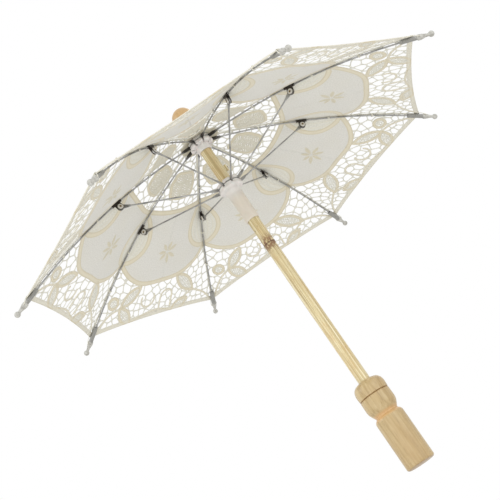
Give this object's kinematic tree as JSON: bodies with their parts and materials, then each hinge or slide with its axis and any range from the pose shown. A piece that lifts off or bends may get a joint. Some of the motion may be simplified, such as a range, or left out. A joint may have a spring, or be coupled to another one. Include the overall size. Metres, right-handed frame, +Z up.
{
  "type": "parasol",
  "caption": "Small lace parasol that folds: bowed wire ribs and stretchers on a bamboo stick, with a sliding runner, a turned wooden handle and a gored cloth canopy.",
  "frame": {"origin": "centre of the handle's bottom face", "axes": "+Z up the stick towards the ferrule, +X towards rib 1"},
  "size_m": [0.3844, 0.3844, 0.3335],
  "materials": {
    "turned_wood": "sanded, clear satin lacquer",
    "bamboo": "natural cane, scraped, brown at the node",
    "clear_plastic": "milky moulded plastic",
    "tip_plastic": "moulded, grey white",
    "rib_steel": "drawn wire, dull",
    "ring_wire": "tinned binding wire",
    "spring_steel": "bright spring wire",
    "dark_steel": "dark pressed steel, brown at the rivet",
    "lace": "cotton tape lace, cream, open net between pale cloth petals"
  },
  "bodies": {
    "stick": {"shaft": "bamboo", "handle": "turned_wood", "ferrule": "turned_wood", "rosette": "lace", "notch": "clear_plastic", "notch_wire": "ring_wire", "stop_block": "bamboo", "stop_nail": "dark_steel"},
    "rib_1": {"rib_1": "rib_steel", "rib_joint_1": "dark_steel", "tip_1": "tip_plastic"},
    "stretcher_1": {"stretcher_1": "rib_steel"},
    "rib_2": {"rib_2": "rib_steel", "rib_joint_2": "dark_steel", "tip_2": "tip_plastic"},
    "stretcher_2": {"stretcher_2": "rib_steel"},
    "rib_3": {"rib_3": "rib_steel", "rib_joint_3": "dark_steel", "tip_3": "tip_plastic"},
    "stretcher_3": {"stretcher_3": "rib_steel"},
    "rib_4": {"rib_4": "rib_steel", "rib_joint_4": "dark_steel", "tip_4": "tip_plastic"},
    "stretcher_4": {"stretcher_4": "rib_steel"},
    "rib_5": {"rib_5": "rib_steel", "rib_joint_5": "dark_steel", "tip_5": "tip_plastic"},
    "stretcher_5": {"stretcher_5": "rib_steel"},
    "rib_6": {"rib_6": "rib_steel", "rib_joint_6": "dark_steel", "tip_6": "tip_plastic"},
    "stretcher_6": {"stretcher_6": "rib_steel"},
    "rib_7": {"rib_7": "rib_steel", "rib_joint_7": "dark_steel", "tip_7": "tip_plastic"},
    "stretcher_7": {"stretcher_7": "rib_steel"},
    "rib_8": {"rib_8": "rib_steel", "rib_joint_8": "dark_steel", "tip_8": "tip_plastic"},
    "stretcher_8": {"stretcher_8": "rib_steel"},
    "runner": {"runner": "clear_plastic", "runner_wire": "ring_wire"},
    "gore_1_half_a": {"gore_1_half_a": "lace"},
    "gore_1_half_b": {"gore_1_half_b": "lace"},
    "gore_2_half_a": {"gore_2_half_a": "lace"},
    "gore_2_half_b": {"gore_2_half_b": "lace"},
    "gore_3_half_a": {"gore_3_half_a": "lace"},
    "gore_3_half_b": {"gore_3_half_b": "lace"},
    "gore_4_half_a": {"gore_4_half_a": "lace"},
    "gore_4_half_b": {"gore_4_half_b": "lace"},
    "gore_5_half_a": {"gore_5_half_a": "lace"},
    "gore_5_half_b": {"gore_5_half_b": "lace"},
    "gore_6_half_a": {"gore_6_half_a": "lace"},
    "gore_6_half_b": {"gore_6_half_b": "lace"},
    "gore_7_half_a": {"gore_7_half_a": "lace"},
    "gore_7_half_b": {"gore_7_half_b": "lace"},
    "gore_8_half_a": {"gore_8_half_a": "lace"},
    "gore_8_half_b": {"gore_8_half_b": "lace"},
    "catch": {"catch_spring": "spring_steel"}
  },
  "joints": [
    {"name": "rib_1_hinge", "type": "hinge", "parent": "stick", "child": "rib_1", "pos_m": [0.009, 0, 0.298], "axis": [0, 1, 0], "range_deg": [0, 69.6], "deforming": ["catch_spring"]},
    {"name": "stretcher_1_hinge", "type": "hinge", "parent": "rib_1", "child": "stretcher_1", "pos_m": [0.0838, 0, 0.276], "axis": [0, 1, 0], "range_deg": [-139.2, 0]},
    {"name": "rib_2_hinge", "type": "hinge", "parent": "stick", "child": "rib_2", "pos_m": [0.00636, 0.00636, 0.298], "axis": [-0.7071, 0.7071, 0], "range_deg": [0, 69.6]},
    {"name": "stretcher_2_hinge", "type": "hinge", "parent": "rib_2", "child": "stretcher_2", "pos_m": [0.05926, 0.05926, 0.276], "axis": [-0.7071, 0.7071, 0], "range_deg": [-139.2, 0]},
    {"name": "rib_3_hinge", "type": "hinge", "parent": "stick", "child": "rib_3", "pos_m": [0, 0.009, 0.298], "axis": [-1, 0, 0], "range_deg": [0, 69.6]},
    {"name": "stretcher_3_hinge", "type": "hinge", "parent": "rib_3", "child": "stretcher_3", "pos_m": [0, 0.0838, 0.276], "axis": [-1, 0, 0], "range_deg": [-139.2, 0]},
    {"name": "rib_4_hinge", "type": "hinge", "parent": "stick", "child": "rib_4", "pos_m": [-0.00636, 0.00636, 0.298], "axis": [-0.7071, -0.7071, 0], "range_deg": [0, 69.6]},
    {"name": "stretcher_4_hinge", "type": "hinge", "parent": "rib_4", "child": "stretcher_4", "pos_m": [-0.05926, 0.05926, 0.276], "axis": [-0.7071, -0.7071, 0], "range_deg": [-139.2, 0]},
    {"name": "rib_5_hinge", "type": "hinge", "parent": "stick", "child": "rib_5", "pos_m": [-0.009, 0, 0.298], "axis": [0, -1, 0], "range_deg": [0, 69.6]},
    {"name": "stretcher_5_hinge", "type": "hinge", "parent": "rib_5", "child": "stretcher_5", "pos_m": [-0.0838, 0, 0.276], "axis": [0, -1, 0], "range_deg": [-139.2, 0]},
    {"name": "rib_6_hinge", "type": "hinge", "parent": "stick", "child": "rib_6", "pos_m": [-0.00636, -0.00636, 0.298], "axis": [0.7071, -0.7071, 0], "range_deg": [0, 69.6]},
    {"name": "stretcher_6_hinge", "type": "hinge", "parent": "rib_6", "child": "stretcher_6", "pos_m": [-0.05926, -0.05926, 0.276], "axis": [0.7071, -0.7071, 0], "range_deg": [-139.2, 0]},
    {"name": "rib_7_hinge", "type": "hinge", "parent": "stick", "child": "rib_7", "pos_m": [0, -0.009, 0.298], "axis": [1, 0, 0], "range_deg": [0, 69.6]},
    {"name": "stretcher_7_hinge", "type": "hinge", "parent": "rib_7", "child": "stretcher_7", "pos_m": [0, -0.0838, 0.276], "axis": [1, 0, 0], "range_deg": [-139.2, 0]},
    {"name": "rib_8_hinge", "type": "hinge", "parent": "stick", "child": "rib_8", "pos_m": [0.00636, -0.00636, 0.298], "axis": [0.7071, 0.7071, 0], "range_deg": [0, 69.6]},
    {"name": "stretcher_8_hinge", "type": "hinge", "parent": "rib_8", "child": "stretcher_8", "pos_m": [0.05926, -0.05926, 0.276], "axis": [0.7071, 0.7071, 0], "range_deg": [-139.2, 0]},
    {"name": "runner_hinge", "type": "hinge", "parent": "stretcher_1", "child": "runner", "pos_m": [0.009, 0, 0.254], "axis": [0, 1, 0], "range_deg": [0, 69.6]},
    {"name": "gore_1_half_a_fold", "type": "hinge", "parent": "rib_1", "child": "gore_1_half_a", "pos_m": [0.01345, 0.00415, 0.30341], "axis": [0.9427, -0.0381, -0.3315], "range_deg": [0, 70.93], "deforming": ["gore_1_half_a"]},
    {"name": "gore_1_half_b_fold", "type": "hinge", "parent": "rib_2", "child": "gore_1_half_b", "pos_m": [0.01244, 0.00658, 0.30341], "axis": [0.6396, 0.6935, -0.3315], "range_deg": [-70.93, 0], "deforming": ["gore_1_half_b"]},
    {"name": "gore_2_half_a_fold", "type": "hinge", "parent": "rib_2", "child": "gore_2_half_a", "pos_m": [0.00658, 0.01244, 0.30341], "axis": [0.6935, 0.6396, -0.3315], "range_deg": [0, 70.93], "deforming": ["gore_2_half_a"]},
    {"name": "gore_2_half_b_fold", "type": "hinge", "parent": "rib_3", "child": "gore_2_half_b", "pos_m": [0.00415, 0.01345, 0.30341], "axis": [-0.0381, 0.9427, -0.3315], "range_deg": [-70.93, 0], "deforming": ["gore_2_half_b"]},
    {"name": "gore_3_half_a_fold", "type": "hinge", "parent": "rib_3", "child": "gore_3_half_a", "pos_m": [-0.00415, 0.01345, 0.30341], "axis": [0.0381, 0.9427, -0.3315], "range_deg": [0, 70.93], "deforming": ["gore_3_half_a"]},
    {"name": "gore_3_half_b_fold", "type": "hinge", "parent": "rib_4", "child": "gore_3_half_b", "pos_m": [-0.00658, 0.01244, 0.30341], "axis": [-0.6935, 0.6396, -0.3315], "range_deg": [-70.93, 0], "deforming": ["gore_3_half_b"]},
    {"name": "gore_4_half_a_fold", "type": "hinge", "parent": "rib_4", "child": "gore_4_half_a", "pos_m": [-0.01244, 0.00658, 0.30341], "axis": [-0.6396, 0.6935, -0.3315], "range_deg": [0, 70.93], "deforming": ["gore_4_half_a"]},
    {"name": "gore_4_half_b_fold", "type": "hinge", "parent": "rib_5", "child": "gore_4_half_b", "pos_m": [-0.01345, 0.00415, 0.30341], "axis": [-0.9427, -0.0381, -0.3315], "range_deg": [-70.93, 0], "deforming": ["gore_4_half_b"]},
    {"name": "gore_5_half_a_fold", "type": "hinge", "parent": "rib_5", "child": "gore_5_half_a", "pos_m": [-0.01345, -0.00415, 0.30341], "axis": [-0.9427, 0.0381, -0.3315], "range_deg": [0, 70.93], "deforming": ["gore_5_half_a"]},
    {"name": "gore_5_half_b_fold", "type": "hinge", "parent": "rib_6", "child": "gore_5_half_b", "pos_m": [-0.01244, -0.00658, 0.30341], "axis": [-0.6396, -0.6935, -0.3315], "range_deg": [-70.93, 0], "deforming": ["gore_5_half_b"]},
    {"name": "gore_6_half_a_fold", "type": "hinge", "parent": "rib_6", "child": "gore_6_half_a", "pos_m": [-0.00658, -0.01244, 0.30341], "axis": [-0.6935, -0.6396, -0.3315], "range_deg": [0, 70.93], "deforming": ["gore_6_half_a"]},
    {"name": "gore_6_half_b_fold", "type": "hinge", "parent": "rib_7", "child": "gore_6_half_b", "pos_m": [-0.00415, -0.01345, 0.30341], "axis": [0.0381, -0.9427, -0.3315], "range_deg": [-70.93, 0], "deforming": ["gore_6_half_b"]},
    {"name": "gore_7_half_a_fold", "type": "hinge", "parent": "rib_7", "child": "gore_7_half_a", "pos_m": [0.00415, -0.01345, 0.30341], "axis": [-0.0381, -0.9427, -0.3315], "range_deg": [0, 70.93], "deforming": ["gore_7_half_a"]},
    {"name": "gore_7_half_b_fold", "type": "hinge", "parent": "rib_8", "child": "gore_7_half_b", "pos_m": [0.00658, -0.01244, 0.30341], "axis": [0.6935, -0.6396, -0.3315], "range_deg": [-70.93, 0], "deforming": ["gore_7_half_b"]},
    {"name": "gore_8_half_a_fold", "type": "hinge", "parent": "rib_8", "child": "gore_8_half_a", "pos_m": [0.01244, -0.00658, 0.30341], "axis": [0.6396, -0.6935, -0.3315], "range_deg": [0, 70.93], "deforming": ["gore_8_half_a"]},
    {"name": "gore_8_half_b_fold", "type": "hinge", "parent": "rib_1", "child": "gore_8_half_b", "pos_m": [0.01345, -0.00415, 0.30341], "axis": [0.9427, 0.0381, -0.3315], "range_deg": [-70.93, 0], "deforming": ["gore_8_half_b"]},
    {"name": "catch_press", "type": "hinge", "parent": "stick", "child": "catch", "pos_m": [-0.0013, 0.00314, 0.1998], "axis": [-0.9239, -0.3827, 0], "range_deg": [-9, 0], "stiffness_Nm_per_rad": 0.01}
  ],
  "couplings": [
    {"joint": "stretcher_1_hinge", "follows": "rib_1_hinge", "ratio": -2},
    {"joint": "rib_2_hinge", "follows": "rib_1_hinge", "ratio": 1},
    {"joint": "stretcher_2_hinge", "follows": "rib_1_hinge", "ratio": -2},
    {"joint": "rib_3_hinge", "follows": "rib_1_hinge", "ratio": 1},
    {"joint": "stretcher_3_hinge", "follows": "rib_1_hinge", "ratio": -2},
    {"joint": "rib_4_hinge", "follows": "rib_1_hinge", "ratio": 1},
    {"joint": "stretcher_4_hinge", "follows": "rib_1_hinge", "ratio": -2},
    {"joint": "rib_5_hinge", "follows": "rib_1_hinge", "ratio": 1},
    {"joint": "stretcher_5_hinge", "follows": "rib_1_hinge", "ratio": -2},
    {"joint": "rib_6_hinge", "follows": "rib_1_hinge", "ratio": 1},
    {"joint": "stretcher_6_hinge", "follows": "rib_1_hinge", "ratio": -2},
    {"joint": "rib_7_hinge", "follows": "rib_1_hinge", "ratio": 1},
    {"joint": "stretcher_7_hinge", "follows": "rib_1_hinge", "ratio": -2},
    {"joint": "rib_8_hinge", "follows": "rib_1_hinge", "ratio": 1},
    {"joint": "stretcher_8_hinge", "follows": "rib_1_hinge", "ratio": -2},
    {"joint": "runner_hinge", "follows": "rib_1_hinge", "ratio": 1},
    {"joint": "gore_1_half_a_fold", "follows": "rib_1_hinge", "ratio": 1.0191},
    {"joint": "gore_1_half_b_fold", "follows": "rib_1_hinge", "ratio": -1.0191},
    {"joint": "gore_2_half_a_fold", "follows": "rib_1_hinge", "ratio": 1.0191},
    {"joint": "gore_2_half_b_fold", "follows": "rib_1_hinge", "ratio": -1.0191},
    {"joint": "gore_3_half_a_fold", "follows": "rib_1_hinge", "ratio": 1.0191},
    {"joint": "gore_3_half_b_fold", "follows": "rib_1_hinge", "ratio": -1.0191},
    {"joint": "gore_4_half_a_fold", "follows": "rib_1_hinge", "ratio": 1.0191},
    {"joint": "gore_4_half_b_fold", "follows": "rib_1_hinge", "ratio": -1.0191},
    {"joint": "gore_5_half_a_fold", "follows": "rib_1_hinge", "ratio": 1.0191},
    {"joint": "gore_5_half_b_fold", "follows": "rib_1_hinge", "ratio": -1.0191},
    {"joint": "gore_6_half_a_fold", "follows": "rib_1_hinge", "ratio": 1.0191},
    {"joint": "gore_6_half_b_fold", "follows": "rib_1_hinge", "ratio": -1.0191},
    {"joint": "gore_7_half_a_fold", "follows": "rib_1_hinge", "ratio": 1.0191},
    {"joint": "gore_7_half_b_fold", "follows": "rib_1_hinge", "ratio": -1.0191},
    {"joint": "gore_8_half_a_fold", "follows": "rib_1_hinge", "ratio": 1.0191},
    {"joint": "gore_8_half_b_fold", "follows": "rib_1_hinge", "ratio": -1.0191}
  ]
}
